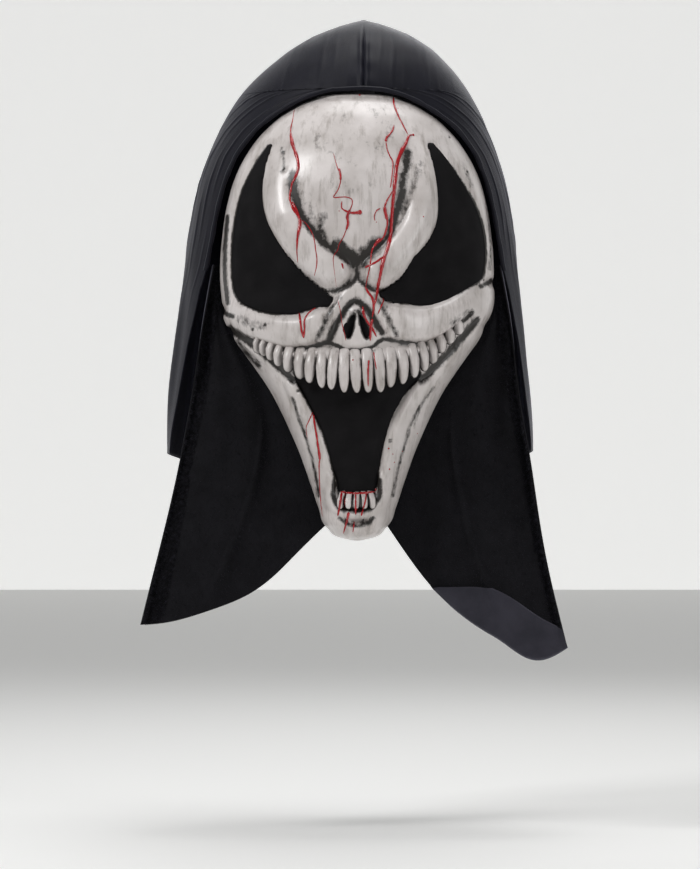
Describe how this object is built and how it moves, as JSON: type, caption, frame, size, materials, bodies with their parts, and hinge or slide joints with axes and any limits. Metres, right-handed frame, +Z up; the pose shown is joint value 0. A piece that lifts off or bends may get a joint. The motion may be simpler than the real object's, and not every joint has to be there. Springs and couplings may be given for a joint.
{
  "type": "hooded skull face mask",
  "caption": "Full-face skull mask, a moulded shell with see-through eye, nose and mouth screens, sewn hood, pointed front drapes and an elastic strap that swings at the temples.",
  "frame": {"origin": "centre of the wearer's head, midway between the temples (mount head_seat)", "axes": "+Z up along the wearer's head, the face looks towards -Y, +X is on the right of someone facing the mask"},
  "size_m": [0.3142, 0.2525, 0.4656],
  "materials": {
    "shell": "glossy bone white with dark paint in the hollows and red drips",
    "mesh": "black see-through mesh cloth",
    "hood": "smooth black stretch cloth",
    "binding": "black rolled hem",
    "drape": "black pile cloth",
    "tape": "black woven tape",
    "foam": "dark grey foam",
    "elastic": "black ribbed elastic",
    "fitting": "moulded, unpainted",
    "label": "white satin label, blank"
  },
  "bodies": {
    "mask": {"face_shell": "shell", "eye_screen_left": "mesh", "eye_screen_right": "mesh", "nose_screen": "mesh", "mouth_screen": "mesh", "brow_pad": "foam", "rim_tape": "tape", "hood_left": "hood", "hood_right": "hood", "crown_seam_tape": "tape", "hood_edge_binding": "binding", "drape_left": "drape", "drape_right": "drape", "strap_anchor_left": "fitting", "strap_anchor_right": "fitting", "strap_cap_left": "fitting", "strap_cap_right": "fitting", "care_label": "label"},
    "strap": {"elastic_strap": "elastic"}
  },
  "joints": [
    {"name": "strap_swing", "type": "hinge", "parent": "mask", "child": "strap", "pos_m": [0, -0.04118, 0.004], "axis": [1, 0, 0], "range_deg": [-40, 45]}
  ]
}
